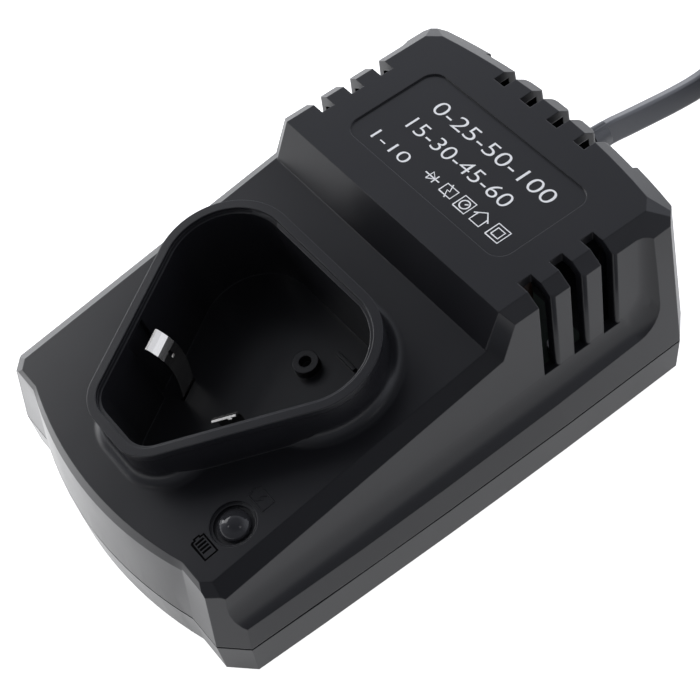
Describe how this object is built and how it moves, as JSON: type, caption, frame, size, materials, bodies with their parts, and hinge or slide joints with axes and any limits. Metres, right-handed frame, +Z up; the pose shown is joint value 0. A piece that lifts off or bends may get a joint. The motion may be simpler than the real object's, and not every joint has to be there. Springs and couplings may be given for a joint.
{
  "type": "battery charger",
  "caption": "Desk charger for a power tool battery: sloping deck with a rounded-triangle socket, sprung contacts, raised vented block, indicator lamp and a mains cord with plug.",
  "frame": {"origin": "centre of the charger's footprint on the table, measured without the cord", "axes": "+X to the right seen from the socket end, +Y to the rear where the cord leaves, +Z up"},
  "size_m": [0.1255, 0.2521, 0.0468],
  "materials": {
    "housing_plastic": "fine satin texture",
    "lens": "smoked, polished",
    "nickel": "nickel-plated spring strip",
    "steel": "zinc-plated",
    "aluminium": "plain sheet",
    "board": "dark solder mask",
    "black_plastic": "moulded",
    "white_plastic": "moulded",
    "ferrite": "sintered, dull",
    "copper_wire": "enamelled",
    "can_sleeve": "shrink sleeve",
    "film_yellow": "moulded box",
    "ceramic_blue": "dipped",
    "fuse_brown": "moulded",
    "resistor_tan": "lacquered",
    "wire_brown": "insulation",
    "cord_rubber": "smooth"
  },
  "bodies": {
    "housing": {"upper_shell": "housing_plastic", "lower_shell": "housing_plastic", "housing_screws": "steel", "led_lens": "lens", "led_spacer": "white_plastic", "led_leads": "steel", "contact_left_tail": "nickel", "contact_right_tail": "nickel", "circuit_board": "board", "board_screws": "steel", "transformer_core": "ferrite", "transformer_bobbin": "black_plastic", "transformer_winding": "copper_wire", "input_capacitor": "can_sleeve", "output_capacitors": "can_sleeve", "film_capacitor": "film_yellow", "ceramic_capacitor": "ceramic_blue", "fuse": "fuse_brown", "noise_choke": "copper_wire", "bridge_diodes": "black_plastic", "resistors": "resistor_tan", "switching_transistor": "black_plastic", "output_rectifier": "black_plastic", "heatsink": "aluminium", "control_chip": "black_plastic", "optocoupler": "white_plastic", "mains_wires": "wire_brown", "strain_relief": "cord_rubber", "mains_cord": "cord_rubber", "cord_coil": "cord_rubber", "cord_tie": "black_plastic", "plug_body": "cord_rubber", "plug_pins": "nickel"},
    "contact_left": {"contact_left_leaf": "nickel"},
    "contact_right": {"contact_right_leaf": "nickel"}
  },
  "joints": [
    {"name": "contact_left_flex", "type": "hinge", "parent": "housing", "child": "contact_left", "pos_m": [-0.01195, -0.03188, 0.01824], "axis": [0.4826, -0.8633, -0.1476], "range_deg": [0, 6], "stiffness_Nm_per_rad": 0.2},
    {"name": "contact_right_flex", "type": "hinge", "parent": "housing", "child": "contact_right", "pos_m": [0.01195, -0.03188, 0.01824], "axis": [0.4826, 0.8633, 0.1476], "range_deg": [0, 6], "stiffness_Nm_per_rad": 0.2}
  ]
}
